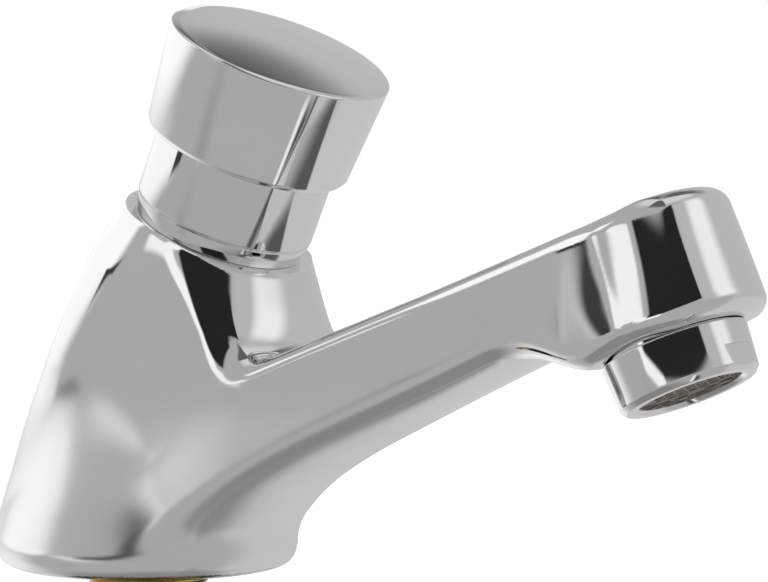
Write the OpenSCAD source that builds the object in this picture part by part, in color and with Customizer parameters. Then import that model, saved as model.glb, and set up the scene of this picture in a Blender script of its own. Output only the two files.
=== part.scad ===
// Self-closing push tap for a basin: cast body with an inclined push button,
// a slow-return valve under it, an aerated outlet and a threaded tail below the deck.
// Frame: origin at the middle of the foot on the deck, +Z up, spout towards +X.

/* [Body] */
// diameter of the round foot on the deck
base_d = 50; // [46:0.5:54]
// lean of the button axis forwards, and of the spout upwards
tilt = 24.5; // [21:0.5:27]
// forward position of the neck seat
seat_x = 16.7; // [14:0.1:19]
// height of the neck seat above the deck
seat_z = 57.6; // [55:0.1:60]
// diameter of the neck at its seat
neck_d = 32.6; // [32:0.1:35]
// rounding of the foot's lower edge
foot_round = 3; // [1:0.5:4]
// soft fillet between the pedestal and the spout
blend = 12; // [8:1:15]
// grid pitch of the cast surface
cast_grid = 2.6; // [2.4:0.1:3.2]

/* [Spout] */
// distance of the outlet axis along the spout slope
outlet_s = 117.8; // [112:0.2:124]
// diameter of the round spout head
head_d = 32; // [30:0.5:34]
// width of the spout at its waist
spout_w = 22.8; // [21:0.2:25]
// height of the spout top over the slope line at the neck
spout_top = 18; // [17:0.1:20]
// depth of the head's underside below the slope line
head_drop = 6.6; // [5.8:0.1:7.2]
// diameter of the waterway in the spout
waterway_d = 9; // [7:0.5:9.5]

/* [Button] */
// diameter of the button at its top rim
cap_d = 38; // [37:0.1:40]
// diameter of the button at its lower edge
cap_low_d = 34.8; // [34.4:0.1:36]
// height of the button's side
cap_h = 18.2; // [16:0.1:20]
// height of the button's rim above the neck seat
cap_rim = 33.3; // [32:0.1:35]
// rise of the domed top
cap_dome = 2.4; // [1.6:0.1:2.8]
// press travel of the button
travel = 7; // [5:0.5:7.5]
// diameter of the bonnet that the button slides over
bonnet_d = 30.4; // [29.4:0.1:30.6]
// radial gap between button and bonnet
cap_gap = 0.4; // [0.2:0.05:0.5]
// diameter of the stem
stem_d = 6; // [5:0.2:6.4]

/* [Outlet] */
// diameter of the outlet ring
aerator_d = 23.6; // [22.6:0.1:24]
// visible height of the outlet ring
aerator_h = 8.2; // [7:0.1:9]
// diameter of the ring's screw thread
aerator_thread_d = 22; // [21:0.1:22]
// width across the ring's two spanner flats
key_w = 22; // [21.6:0.1:22.4]

/* [Tail] */
// outside diameter of the G 1/2 tail thread
tail_d = 20.955; // [20:0.005:22]
// length of the tail below the deck
tail_len = 50; // [45:1:60]
// water bore of the tail
tail_bore_d = 13; // [11:0.5:14]
// deck thickness that the washers are set for
deck_t = 20; // [14:1:22]

/* [Hidden] */
$fn = 96;
// clearance of parts that are screwed or pushed together
fit = 0.05;
base_r = base_d / 2;
// pedestal: centre line, half lengths, half widths and corner radii from the foot to the neck
ped_c0 = [-0.06 * base_r, 0];
ped_c1 = [0.135 * base_r, 0.469 * seat_z];
ped_c2 = [seat_x, seat_z];
ped_len = [0.84 * base_r, 0.84 * base_r, neck_d / 2];
ped_wid = [0.8 * base_r, 0.72 * base_r, neck_d / 2];
ped_turn = [0.56 * base_r, 0.36 * base_r, neck_d / 2];
foot_h = 4;
foot_sink = 0.4;
foot_slope = 0.42;
foot_blend = 5;
// neck: how fast it widens towards the spout, and where it ends inside it
flare = 0.4;
flare_len = 30;
throat_n = 17;
throat_blend = 5;
// flat sides: how they draw in to the waist, and the crease below which they open to the foot
taper = 0.08;
taper_x = 70;
taper_len = 62;
taper_soft = 6;
crease_z = 13.8;
crease_slope = 0.33;
crease_soft = 10;
crease_open = 0.45;
side_round = 2.5;
// spout: stations along the slope, and lengths counted back from the outlet axis
spout_root = 3;
lead_s = outlet_s - 42.8;
lead_len = 45;
level_s = outlet_s - 56.5;
under_s = outlet_s - 63.8;
dip_len = 24;
widen_len = 50;
drop_s = outlet_s - 28;
drop_len = 22;
rim_s = outlet_s - 22;
rim_len = 20;
spout_under = 0.2;
under_round = 5.8;
head_round = 2.8;
head_blend = 2.5;
head_lean = 0.006;
head_top = 26;
top_round = 2.6;
top_fall = 0.0635;
// heights along the button axis, from the neck seat
bonnet_top = cap_rim - 13.8;
bonnet_roof = 4;
thread_h = 10;
seat_top = -18;
seat_h = 10;
inlet_low = -45;
thread_r = 13;
chamber_r = 10;
cap_wall = 2.4;
cap_in_r = bonnet_d / 2 + cap_gap;
boss_low = bonnet_top + travel + 0.5;
stem_r = stem_d / 2;
bush_r = stem_r + 2.6;
flange_h = 1.5;
piston_top = bonnet_top - bonnet_roof - flange_h - 1;
piston_h = 5;
piston_low = piston_top - piston_h;
piston_r = chamber_r - 0.3;
core_r = 6.4;
cup_h = 2.6;
clip_h = 0.9;
seat_r = 12;
port_r = 5;
washer_h = 2.5;
poppet_h = 2.8;
poppet_top = seat_top - seat_h - washer_h - fit;
poppet_low = poppet_top - poppet_h;
nut_h = 2.4;
stem_low = poppet_low - nut_h - 0.6;
stem_tip_r = 2;
inlet_r = 9;
wire_r = 0.6;
coil_r = 7.4;
spring_turns = 6;
// O-rings: wire radius, and the height of their grooves
oring_r = 0.7;
groove_h = 1.8;
// outlet set, along the outlet axis from the head's underside
socket_h = 8.6;
ring_thread_h = 6.6;
ring_bore_r = aerator_thread_d / 2 - 1.6;
screen_h = 0.6;
screen_z = -aerator_h + 1.6;
// tail and its fixings
socket_r = tail_d / 2 - 1.4;
socket_depth = 10;
gasket_r = base_r - 4;
gasket_h = 1.5;
wash_rub = 2.5;
wash_slip = 1.5;
nut_t = 9;
// undercut of the tail thread below the backnut
relief_z = -deck_t - wash_rub - wash_slip - nut_t - 1;
relief_h = 1.2;
// the tail's thread in the deck hole, drawn as plain grooves
groove_p = 2.8;
groove_n = floor((deck_t - 3) / groove_p);
groove_z = 3.4;
water_n = 0.38 * spout_top;
chamber_over = 0.6;

function quad(v, u) = (1 - u) * (1 - u) * v[0] + 2 * u * (1 - u) * v[1] + u * u * v[2];
function slope(v, u) = 2 * (1 - u) * (v[1] - v[0]) + 2 * u * (v[2] - v[1]);
function soft(a, b, k) = min(a, b) - pow(max(k - abs(a - b), 0), 2) / (4 * k);
function ease(t) = let (c = min(max(t, 0), 1)) c * c * c * (c * (6 * c - 15) + 10);
function round_edge(a, b, r) =
    norm([max(a + r, 0), max(b + r, 0)]) + min(max(a + r, b + r), 0) - r;

// section of the leaning pedestal that a point lies in, 0 at the foot and 1 at the neck
function section_of(x, z, u, turns) =
    turns == 0 ? u :
    let (c = quad([ped_c0, ped_c1, ped_c2], u))
    let (d = slope([ped_c0, ped_c1, ped_c2], u))
    let (a = tilt * u, dx = x - c[0], dz = z - c[1])
    let (g = dx * sin(a) + dz * cos(a))
    let (turn = tilt * PI / 180 * (dx * cos(a) - dz * sin(a)))
    let (dg = turn - d[0] * sin(a) - d[1] * cos(a))
    section_of(x, z, min(max(u - g / min(dg, -8), -0.15), 1.3), turns - 1);

// distance outside the pedestal: a rounded box section that turns round towards the neck
function pedestal(p) =
    let (u = section_of(p[0], p[2], min(max(p[2] / seat_z, -0.1), 1.2), 5))
    let (c = quad([ped_c0, ped_c1, ped_c2], u), a = tilt * u)
    let (q = (p[0] - c[0]) * cos(a) - (p[2] - c[1]) * sin(a))
    let (wall = round_edge(abs(q) - quad(ped_len, u), abs(p[1]) - quad(ped_wid, u), quad(ped_turn, u)))
    max(wall, above_seat(p) - 3);

// distance outside the round foot, drawn in as it rises
function foot(p) =
    let (rise = max(p[2] - foot_h, 0))
    let (d = norm([p[0], p[1]]) - base_r + foot_slope * rise)
    rise > 0 ? d / norm([1, foot_slope]) : d;

// height over the neck seat, along the button axis
function above_seat(p) = (p[0] - seat_x) * sin(tilt) + (p[2] - seat_z) * cos(tilt);

// distance outside the neck, which widens forwards as it goes down to the spout
function throat(p) =
    let (h = above_seat(p), n = p[2] * cos(tilt) - p[0] * sin(tilt))
    let (q = (p[0] - seat_x) * cos(tilt) - (p[2] - seat_z) * sin(tilt))
    let (more = flare * min(max(-h, 0), flare_len))
    let (cone = (norm([q - more, p[1]]) - neck_d / 2 - more) / norm([1, 1.6 * flare]))
    max(cone, h - 3, throat_n - n);

// half width between the flat sides
function half_width(x) =
    let (bend = norm([taper_x - x, taper_soft]) - norm([taper_x - taper_len - x, taper_soft]))
    spout_w / 2 + taper * (taper_len + bend) / 2;

// distance outside the spout, in slope coordinates
function spout(p) =
    let (s = p[0] * cos(tilt) + p[2] * sin(tilt), n = p[2] * cos(tilt) - p[0] * sin(tilt))
    let (swell = half_width(p[0]) - spout_w / 2, up = min(max(n + head_drop, 0), head_top))
    let (t = min(max((s - outlet_s) / widen_len + 1, 0), 1.1))
    let (wide_by = 0.41 * (head_d - spout_w) * t * t * (1.5 - 0.5 * t) * (1 - 0.03 * up))
    let (w = spout_w / 2 + 0.4 + 1.5 * swell + wide_by)
    let (head = ease((s - drop_s) / drop_len), rim = ease((s - rim_s) / rim_len))
    let (lead = max((s - lead_s) / lead_len, 0), dip = max((under_s - s) / dip_len, 0))
    let (top = spout_top - top_fall * (s - level_s) + 0.5 * lead * lead - 0.28 * wide_by)
    let (low = (spout_under - 2 * dip * dip) * (1 - head) - head_drop * head)
    let (hb = under_round * (1 - rim) + head_round * rim)
    let (strip = max(abs(p[1]) - w, s - outlet_s - 2, spout_root - s), slim = head_lean * up * up)
    let (nose = norm([s - outlet_s - slim, p[1]]) - head_d / 2 + slim)
    let (d = soft(strip, nose, head_blend))
    let (wb = w * (1 - rim) + head_round * rim, e = max(low + hb - n, 0))
    let (k = norm([max(d + wb, 0) / wb, e / hb]) + 1e-6)
    let (under = d + wb > 0 ? norm([d + wb, e]) * (1 - 1 / k) : low - n)
    n > low + hb ? round_edge(d, n - top, top_round) : max(under, n - top);

// distance outside the casting: the forms softly joined and cut to the flat sides, on the foot
function casting(p) =
    let (drop = crease_z + crease_slope * p[0] - p[2], e = foot_round, z = p[2] + foot_sink)
    let (open = (drop + norm([drop, crease_soft])) / 2)
    let (stem = soft(pedestal(p), spout(p), blend))
    let (neck = soft(stem, throat(p), min(max(-above_seat(p) / 2, 0.3), throat_blend)))
    let (side = abs(p[1]) - half_width(p[0]) - crease_open * open)
    let (f = soft(round_edge(neck, side, side_round + open / 2), foot(p), foot_blend))
    z < 0 ? max(f + e - z, -z - 0.6 * cast_grid) :
    z < e && f > -e ? max(norm([f + e, e - z]) - e, f) : f;

// the casting's surface on a grid: one point in each cell that it crosses, joined across edges
x_lo = -base_r - 4;
z_lo = -1.9 * cast_grid;
x_n = ceil(((outlet_s + head_d / 2) * cos(tilt) + 8 - x_lo) / cast_grid);
y_n = 2 * ceil((base_r + 4) / cast_grid);
z_n = ceil((seat_z + 14 - z_lo) / cast_grid);
cells = [x_n, y_n, z_n];
function grid_at(i, j, k) =
    [x_lo + i * cast_grid, (j - y_n / 2) * cast_grid, z_lo + k * cast_grid];
function crossing(a, b, va, vb) = a + (b - a) * va / (va - vb);
function onto(p, turns) =
    turns == 0 ? p :
    let (e = 0.05, f = casting(p))
    let (gx = casting(p + [e, 0, 0]) - f, gy = casting(p + [0, e, 0]) - f)
    let (gz = casting(p + [0, 0, e]) - f)
    let (g = [gx, gy, gz] / e)
    onto(p - g * min(max(f / max(g * g, 0.05), -1), 1), turns - 1);
CORNERS = [for (i = [0, 1]) for (j = [0, 1]) for (k = [0, 1]) [i, j, k]];
EDGES = [for (a = CORNERS) for (x = [0:2]) if (a[x] == 0)
    [a, [for (i = [0:2]) i == x ? 1 : a[i]]]];

module cast_surface() {
    v = [for (i = [0:cells[0]]) [for (j = [0:cells[1]]) [for (k = [0:cells[2]])
        casting(grid_at(i, j, k))]]];
    function value(c, o) = v[c[0] + o[0]][c[1] + o[1]][c[2] + o[2]];
    function crossed(c) =
        let (s = [for (o = CORNERS) value(c, o) < 0 ? 1 : 0] * [1, 1, 1, 1, 1, 1, 1, 1])
        s > 0 && s < 8;
    rows = [for (i = [0:cells[0] - 1]) for (j = [0:cells[1] - 1])
        [for (k = [0:cells[2] - 1]) crossed([i, j, k]) ? 1 : 0]];
    order = [for (r = rows) [for (k = 0, n = 0; k < len(r); n = n + r[k], k = k + 1) n]];
    sums = [for (r = rows) r * [for (k = r) 1]];
    start = [for (r = 0, n = 0; r < len(rows); n = n + sums[r], r = r + 1) n];
    function index(i, j, k) = start[i * cells[1] + j] + order[i * cells[1] + j][k];
    points = [for (i = [0:cells[0] - 1]) for (j = [0:cells[1] - 1]) for (k = [0:cells[2] - 1])
        if (rows[i * cells[1] + j][k] == 1)
        let (c = [i, j, k])
        let (hits = [for (e = EDGES) let (a = value(c, e[0]), b = value(c, e[1]))
            if ((a < 0) != (b < 0)) [crossing(e[0], e[1], a, b), 1]])
        let (sum = [for (h = hits) 1] * [for (h = hits) h[0]])
        let (m = c + sum / len(hits))
        onto(grid_at(m[0], m[1], m[2]), 3)];
    quads = [for (x = [0:2]) for (i = [1:cells[0] - 1]) for (j = [1:cells[1] - 1])
        for (k = [1:cells[2] - 1])
        let (a = v[i][j][k] < 0)
        let (b = v[i + (x == 0 ? 1 : 0)][j + (x == 1 ? 1 : 0)][k + (x == 2 ? 1 : 0)] < 0)
        if (a != b)
        let (p = x == 0 ? [0, 1, 0] : x == 1 ? [0, 0, 1] : [1, 0, 0])
        let (q = x == 0 ? [0, 0, 1] : x == 1 ? [1, 0, 0] : [0, 1, 0])
        let (f = [index(i - p[0] - q[0], j - p[1] - q[1], k - p[2] - q[2]),
            index(i - q[0], j - q[1], k - q[2]), index(i, j, k),
            index(i - p[0], j - p[1], k - p[2])])
        a ? [f[3], f[2], f[1], f[0]] : f];
    polyhedron(points, [for (f = quads) each [[f[0], f[1], f[2]], [f[0], f[2], f[3]]]]);
}

// frames: the button axis from the neck seat, and the spout slope
module at_button() {
    translate([seat_x, 0, seat_z]) rotate([0, tilt, 0]) children();
}
module at_slope() {
    rotate([0, -tilt, 0]) children();
}
module at_outlet() {
    at_slope() translate([outlet_s, 0, -head_drop]) children();
}
module disc(r, z0, z1) {
    translate([0, 0, z0]) cylinder(r = r, h = z1 - z0);
}
module ring(r_in, r_out, z0, z1) {
    rotate_extrude() translate([r_in, z0]) square([r_out - r_in, z1 - z0]);
}
module o_ring(r_mid, r_wire, z) {
    translate([0, 0, z]) rotate_extrude() translate([r_mid, 0]) circle(r_wire, $fn = 32);
}
module bore_between(a, b, r) {
    d = b - a;
    translate(a) rotate([0, atan2(norm([d[0], d[1]]), d[2]), 0]) cylinder(r = r, h = norm(d));
}
function slope_point(s, n) =
    [s * cos(tilt) - n * sin(tilt), 0, s * sin(tilt) + n * cos(tilt)];
function button_point(h, r) =
    [seat_x + h * sin(tilt) + r * cos(tilt), 0, seat_z + h * cos(tilt) - r * sin(tilt)];

module body_casting() {
    color("silver")
    difference() {
        cast_surface();
        // flat underside, and the flat neck seat
        translate([0, 0, -20]) cylinder(r = 2 * base_r, h = 20);
        at_button() disc(neck_d, 0, 12);
        // bore for the bonnet, the valve and its inlet
        at_button() disc(thread_r, -thread_h, 1);
        at_button() disc(seat_r + 0.5, seat_top, -thread_h + 1);
        at_button() disc(seat_r + fit, seat_top - seat_h, seat_top + 1);
        at_button() disc(inlet_r, inlet_low, seat_top - seat_h + 1);
        disc(tail_bore_d / 2, socket_depth - 1, socket_depth + 14);
        disc(socket_r + fit, -1, socket_depth);
        disc(gasket_r, -1, gasket_h);
        // waterway from the valve into the spout, and the outlet socket
        bore_between(button_point(-13, 11.3), slope_point(36, water_n), 4);
        at_slope() translate([32, 0, water_n]) rotate([0, 90, 0])
            cylinder(d = waterway_d, h = outlet_s - 32);
        at_outlet() disc(aerator_thread_d / 2, -2, socket_h);
        at_outlet() disc(ring_bore_r, socket_h - 1, head_drop + water_n + waterway_d / 2 + chamber_over);
    }
}

module inlet_tail() {
    r = tail_d / 2;
    bore = tail_bore_d / 2;
    thread = [for (i = [groove_n - 1:-1:0]) let (z = -groove_z - i * groove_p)
        each [[r, z - groove_p / 3], [r - 1, z], [r, z + groove_p / 3]]];
    color("goldenrod")
    rotate_extrude()
        polygon([[bore + 1, -tail_len], [r - 1, -tail_len], [r, -tail_len + 1],
            [r, relief_z - relief_h], [r - 1, relief_z - relief_h], [r - 1, relief_z],
            [r, relief_z], each thread, [r, gasket_h], [socket_r, gasket_h],
            [socket_r, socket_depth], [bore, socket_depth], [bore, -tail_len + 4],
            [bore + 1, -tail_len + 4]]);
}

module base_gasket() {
    color("dimgray") ring(tail_d / 2 + fit, gasket_r - fit, 0, gasket_h);
}

module fixing_washer() {
    color("dimgray") ring(tail_d / 2 + 0.12, gasket_r - 1, -deck_t - wash_rub, -deck_t);
}

module slip_washer() {
    z = -deck_t - wash_rub;
    color("silver") ring(tail_d / 2 + 0.12, gasket_r - 2, z - wash_slip, z);
}

module backnut() {
    z = -deck_t - wash_rub - wash_slip;
    color("goldenrod")
    difference() {
        union() {
            disc(0.8 * base_r - 2, z - 2.4, z);
            translate([0, 0, z - nut_t]) cylinder(r = tail_d / 2 + 6, h = nut_t - 1, $fn = 6);
        }
        disc(tail_d / 2 + 0.1, z - nut_t - 1, z + 1);
    }
}

module inlet_strainer() {
    r = tail_bore_d / 2 + 1 - fit;
    color("lightgray")
    difference() {
        union() {
            ring(tail_bore_d / 2 - 1.2, r, -tail_len, -tail_len + 4);
            disc(tail_bore_d / 2 - 1, -tail_len + 2.6, -tail_len + 3.6);
        }
        for (k = [0:2]) for (i = [0:max(6 * k - 1, 0)])
            rotate([0, 0, k ? 60 * i / k : 0]) translate([1.95 * k, 0, -tail_len])
                cylinder(r = 0.7, h = 5, $fn = 24);
    }
}

module bonnet() {
    r = bonnet_d / 2;
    roof = bonnet_top - bonnet_roof;
    groove_low = -groove_h - 0.8;
    groove_r = thread_r - 2 * oring_r - 2 * fit;
    color("silver")
    at_button()
    rotate_extrude()
        polygon([[chamber_r, -thread_h], [thread_r - fit, -thread_h],
            [thread_r - fit, groove_low], [groove_r, groove_low],
            [groove_r, groove_low + groove_h], [thread_r - fit, groove_low + groove_h],
            [thread_r - fit, 0], [r - 0.7, 0], [r - 0.1, 3], [r - 0.35, 3.2],
            [r, 3.5], [r, bonnet_top - 0.6], [r - 0.6, bonnet_top], [bush_r + fit, bonnet_top],
            [bush_r + fit, roof], [chamber_r, roof]]);
}

module bonnet_oring() {
    color("black") at_button() o_ring(thread_r - oring_r - fit, oring_r, -groove_h / 2 - 0.8);
}

module stem_bush() {
    roof = bonnet_top - bonnet_roof;
    mid = roof + bonnet_roof / 2;
    bore = stem_r + fit;
    groove_r = stem_r + 2 * oring_r + 2 * fit;
    color("ivory")
    at_button()
    rotate_extrude()
        polygon([[bore, roof - flange_h], [chamber_r - 1.5, roof - flange_h],
            [chamber_r - 1.5, roof], [bush_r, roof], [bush_r, bonnet_top], [bore, bonnet_top],
            [bore, mid + groove_h / 2], [groove_r, mid + groove_h / 2],
            [groove_r, mid - groove_h / 2], [bore, mid - groove_h / 2]]);
}

module stem_oring() {
    mid = bonnet_top - bonnet_roof / 2;
    color("black") at_button() o_ring(stem_r + oring_r + fit, oring_r, mid);
}

module valve_seat() {
    low = seat_top - seat_h;
    mid = seat_top - seat_h / 2;
    groove_r = seat_r - 2 * oring_r - fit;
    color("goldenrod")
    at_button()
    rotate_extrude()
        polygon([[port_r, low], [port_r + 1.2, low], [port_r + 1.2, low + 0.6],
            [inlet_r + 0.5, low + 0.6], [inlet_r + 0.5, low], [seat_r, low],
            [seat_r, mid - groove_h / 2], [groove_r, mid - groove_h / 2],
            [groove_r, mid + groove_h / 2], [seat_r, mid + groove_h / 2], [seat_r, seat_top],
            [port_r, seat_top]]);
}

module seat_oring() {
    color("black") at_button() o_ring(seat_r - oring_r, oring_r, seat_top - seat_h / 2);
}

module aerator_housing() {
    r = aerator_d / 2;
    color("silver")
    at_outlet()
    difference() {
        rotate_extrude()
            polygon([[ring_bore_r - 1, -aerator_h + 0.6], [ring_bore_r - 0.4, -aerator_h],
                [r - 1.3, -aerator_h], [r - 0.5, -aerator_h + 0.9], [r, -0.1],
                [aerator_thread_d / 2 - fit, -0.1], [aerator_thread_d / 2 - fit, ring_thread_h],
                [ring_bore_r, ring_thread_h], [ring_bore_r, screen_z],
                [ring_bore_r - 1, screen_z]]);
        for (a = [0, 180])
            rotate([0, 0, a]) translate([key_w / 2, -aerator_d / 2, -aerator_h - 1])
                cube([aerator_d, aerator_d, aerator_h / 2 + 1]);
    }
}

module aerator_screen() {
    pitch = 2;
    color("gray")
    at_outlet()
    translate([0, 0, screen_z])
    linear_extrude(screen_h)
    difference() {
        circle(ring_bore_r - fit);
        for (i = [-4:4]) for (j = [-4:4])
            let (x = pitch * (i + j / 2), y = pitch * j * sin(60))
            if (norm([x, y]) < ring_bore_r - 1.9)
                translate([x, y]) rotate(30) circle(0.92, $fn = 6);
    }
}

module aerator_insert() {
    z0 = screen_z + screen_h;
    z1 = ring_thread_h - 2;
    color("white")
    at_outlet()
    difference() {
        disc(ring_bore_r - fit, z0, z1);
        disc(ring_bore_r - 2, z0 + 1.6, z1 - 2.2);
        disc(ring_bore_r - 3, z1 - 1, z1 + 1);
        for (i = [0:11])
            rotate([0, 0, 30 * i]) translate([ring_bore_r - 3.6, 0, z0 - 1])
                cylinder(r = 0.9, h = 4, $fn = 24);
        for (i = [0:7])
            rotate([0, 0, 45 * i]) translate([3.6, 0, z1 - 3]) cylinder(r = 0.8, h = 4, $fn = 24);
    }
}

module flow_regulator() {
    z1 = ring_thread_h - 2;
    color("steelblue")
    at_outlet()
    difference() {
        union() {
            disc(ring_bore_r - 3.1, z1 - 1, z1);
            disc(ring_bore_r - fit, z1, z1 + 2);
        }
        for (i = [0:5])
            rotate([0, 0, 60 * i + 22.5]) translate([3.6, 0, z1 - 2])
                cylinder(r = 0.7, h = 5, $fn = 24);
    }
}

module aerator_washer() {
    color("black")
    at_outlet()
    ring(ring_bore_r - 2, aerator_thread_d / 2 - fit, ring_thread_h, socket_h);
}

module push_cap() {
    r1 = cap_d / 2;
    r0 = cap_low_d / 2;
    z0 = cap_rim - cap_h;
    dome_r = (pow(r1 - 0.5, 2) + cap_dome * cap_dome) / (2 * cap_dome);
    crown = cap_rim + cap_dome;
    roof = cap_rim - cap_wall;
    dome = [for (i = [0:12]) let (a = asin((r1 - 0.5) / dome_r) * (1 - i / 12))
        [dome_r * sin(a), crown - dome_r * (1 - cos(a))]];
    color("silver")
    at_button()
    difference() {
        rotate_extrude()
            polygon(concat([[0, boss_low], [stem_r + 3, boss_low], [stem_r + 3, roof - 1],
                [stem_r + 4, roof], [cap_in_r - 1, roof], [cap_in_r, roof - 1],
                [cap_in_r, z0], [r0 - 0.7, z0], [r0, z0 + 0.8], [r1, cap_rim - 0.6]], dome));
        disc(stem_r - 0.5, boss_low - 1, roof + 0.4);
    }
}

module stem() {
    shoulder = poppet_top + washer_h + fit;
    color("lightgray")
    at_button()
    rotate_extrude()
        polygon([[0, stem_low], [stem_tip_r, stem_low], [stem_tip_r, shoulder],
            [stem_r, shoulder], [stem_r, piston_low - clip_h - fit],
            [stem_r - 0.5, piston_low - clip_h - fit], [stem_r - 0.5, piston_low],
            [stem_r, piston_low], [stem_r, boss_low - fit], [stem_r - 0.5 - fit, boss_low - fit],
            [stem_r - 0.5 - fit, cap_rim - cap_wall], [0, cap_rim - cap_wall]]);
}

module piston() {
    color("ivory")
    at_button()
    rotate_extrude()
        polygon([[stem_r + fit / 2, piston_low], [coil_r - 1.2, piston_low],
            [coil_r - 1.2, piston_low + 0.8], [piston_r, piston_low + 0.8],
            [piston_r, piston_top - cup_h], [core_r, piston_top - cup_h], [core_r, piston_top],
            [stem_r + fit / 2, piston_top]]);
}

module piston_cup_seal() {
    z0 = piston_top - cup_h;
    color("black")
    at_button()
    rotate_extrude()
        polygon([[core_r + fit / 2, z0], [piston_r - 0.4, z0], [chamber_r - fit, z0 + cup_h],
            [chamber_r - 0.9, z0 + cup_h], [piston_r - 1.3, z0 + 1], [core_r + 0.9, z0 + 1],
            [core_r + 0.6, z0 + cup_h - 0.4], [core_r + fit / 2, z0 + cup_h - 0.4]]);
}

module piston_clip() {
    z = piston_low - clip_h;
    color("gray")
    at_button()
    difference() {
        ring(stem_r - 0.5 + fit / 2, stem_r + 2, z, piston_low - fit / 2);
        translate([0, -stem_r + 1.2, z - 1]) cube([2 * stem_r + 6, 2 * stem_r - 2.4, 3]);
    }
}

module valve_washer() {
    color("black") at_button() ring(stem_tip_r + fit, port_r + 2.4, poppet_top, poppet_top + washer_h);
}

module valve_poppet() {
    color("goldenrod") at_button() ring(stem_tip_r + fit, port_r + 2.6, poppet_low, poppet_top);
}

module poppet_nut() {
    color("gray")
    at_button()
    difference() {
        translate([0, 0, poppet_low - nut_h]) cylinder(r = 4, h = nut_h, $fn = 6);
        disc(stem_tip_r + fit, poppet_low - nut_h - 1, poppet_low + 1);
    }
}

module return_spring() {
    z0 = seat_top + wire_r + fit;
    z1 = piston_low + 0.8 - wire_r - fit;
    pitch = (z1 - z0) / spring_turns;
    steps = 20 * spring_turns;
    sides = 6;
    echo(spring_gap = pitch - 2 * wire_r);
    points = [for (i = [0:steps]) for (k = [0:sides - 1])
        let (a = 360 * i / 20, b = 360 * k / sides, r = coil_r + wire_r * cos(b))
        [r * cos(a), r * sin(a), z0 + pitch * i / 20 + wire_r * sin(b)]];
    wall = [for (i = [0:steps - 1]) for (k = [0:sides - 1])
        let (a = i * sides + k, b = i * sides + (k + 1) % sides)
        each [[a, a + sides, b], [b, a + sides, b + sides]]];
    ends = [[for (k = [0:sides - 1]) k], [for (k = [sides - 1:-1:0]) steps * sides + k]];
    color("gainsboro") at_button() polyhedron(points, concat(wall, ends));
}

body_casting();
inlet_tail();
base_gasket();
fixing_washer();
slip_washer();
backnut();
inlet_strainer();
bonnet();
bonnet_oring();
stem_bush();
stem_oring();
valve_seat();
seat_oring();
aerator_housing();
aerator_screen();
aerator_insert();
flow_regulator();
aerator_washer();
push_cap();
stem();
piston();
piston_cup_seal();
piston_clip();
valve_washer();
valve_poppet();
poppet_nut();
return_spring();
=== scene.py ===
"""Looks of a self-closing push tap: smooth chromed casting, button, outlet, threaded tail and studio."""

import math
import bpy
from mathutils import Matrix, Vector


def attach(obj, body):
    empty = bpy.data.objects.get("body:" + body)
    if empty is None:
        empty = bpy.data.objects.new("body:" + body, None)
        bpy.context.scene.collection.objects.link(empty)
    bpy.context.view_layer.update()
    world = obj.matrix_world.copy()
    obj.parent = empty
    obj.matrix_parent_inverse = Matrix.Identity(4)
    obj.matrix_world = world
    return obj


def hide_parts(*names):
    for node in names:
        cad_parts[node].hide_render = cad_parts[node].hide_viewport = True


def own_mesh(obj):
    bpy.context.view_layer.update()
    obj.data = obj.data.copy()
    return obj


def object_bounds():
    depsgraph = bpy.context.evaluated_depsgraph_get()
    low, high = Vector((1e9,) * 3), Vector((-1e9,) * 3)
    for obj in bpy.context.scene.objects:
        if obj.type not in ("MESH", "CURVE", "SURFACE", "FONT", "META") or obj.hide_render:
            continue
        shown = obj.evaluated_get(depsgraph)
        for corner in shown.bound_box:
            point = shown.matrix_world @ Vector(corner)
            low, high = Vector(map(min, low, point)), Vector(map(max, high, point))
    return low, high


bl_info = {
    "name": "Push Timed Tap",
    "version": (1, 0, 0),
    "blender": (4, 5, 0),
    "location": "View3D > Sidebar > Tap",
    "description": "Dresses the packed push tap and sets it in a small studio",
    "category": "Object",
}

import bpy
import numpy as np
from bpy.props import FloatProperty, FloatVectorProperty, IntProperty, PointerProperty
from mathutils import Matrix, Vector

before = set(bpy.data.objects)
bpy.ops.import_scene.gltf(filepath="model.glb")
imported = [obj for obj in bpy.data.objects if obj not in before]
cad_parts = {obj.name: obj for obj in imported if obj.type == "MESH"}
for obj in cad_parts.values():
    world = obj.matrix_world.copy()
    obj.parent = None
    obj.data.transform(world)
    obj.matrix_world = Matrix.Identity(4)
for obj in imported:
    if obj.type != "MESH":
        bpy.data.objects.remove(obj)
CAD_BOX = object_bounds()

MM = 0.001
TILT = math.radians(24.5)
CT = math.cos(TILT)
ST = math.sin(TILT)

# Sizes that pieces share, in millimetres. Heights on the button axis are counted from the neck seat.
# FIT is the clearance of what is screwed or pushed together, OVER how far a cut runs past a face.
FIT = 0.05
OVER = 1.0
TRAVEL = 7.0
THREAD_R = 13.0
THREAD_H = 10.0
BONNET_TOP = 19.5
STEM_R = 3.0
SEAT_TOP = -18.0
SPRING_TOP = 8.8
RING_THREAD_R = 11.0
RING_BORE_R = 9.4
TAIL_BORE_R = 6.5
SPIGOT_R = 9.0775
SOCKET_DEPTH = 10.0
GASKET_H = 1.5


def length(name, description, default):
    """A size in metres that a user can change."""
    return FloatProperty(name=name, description=description, default=default, unit="LENGTH")


def tone(name, description, default):
    """A colour that a user can change."""
    return FloatVectorProperty(name=name, description=description, subtype="COLOR", default=default)


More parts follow.
